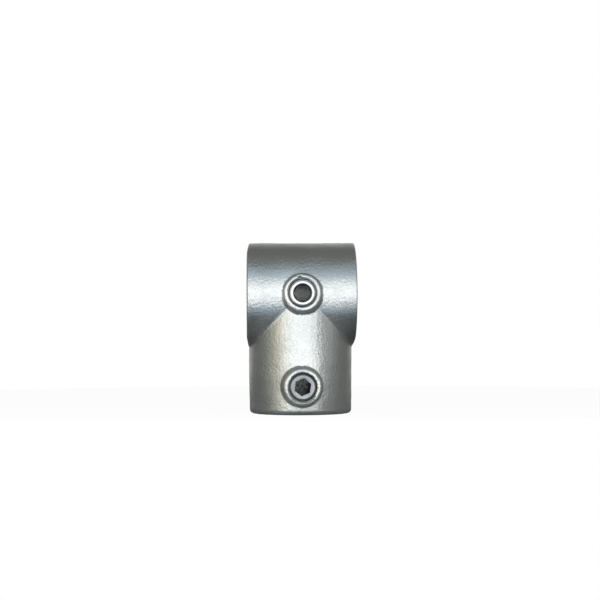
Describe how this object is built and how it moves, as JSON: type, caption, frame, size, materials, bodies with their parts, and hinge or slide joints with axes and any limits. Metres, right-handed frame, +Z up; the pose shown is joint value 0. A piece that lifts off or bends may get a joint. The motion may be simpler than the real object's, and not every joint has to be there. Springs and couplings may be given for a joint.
{
  "type": "tube clamp tee fitting",
  "caption": "Tee fitting that joins a branch tube to a through tube of the same size at a right angle, each held by a hollow set screw in a raised boss.",
  "frame": {"origin": "where the axis of the through bore and the axis of the branch socket cross", "axes": "+X along the through bore, +Z up with the branch pointing down -Z, and the bosses of the set screws facing -Y"},
  "size_m": [0.057, 0.0584, 0.0905],
  "materials": {
    "galvanised_casting": "hot-dip galvanised, satin, fine grain",
    "galvanised_screw": "galvanised, satin"
  },
  "bodies": {
    "casting": {"tee_body": "galvanised_casting"},
    "through_screw": {"through_set_screw": "galvanised_screw"},
    "branch_screw": {"branch_set_screw": "galvanised_screw"}
  },
  "joints": [
    {"name": "through_screw_travel", "type": "slide", "parent": "casting", "child": "through_screw", "axis": [0, 1, 0], "range_m": [-0.00668, 0.00267]},
    {"name": "branch_screw_travel", "type": "slide", "parent": "casting", "child": "branch_screw", "axis": [0, 1, 0], "range_m": [-0.00668, 0.00267]}
  ]
}
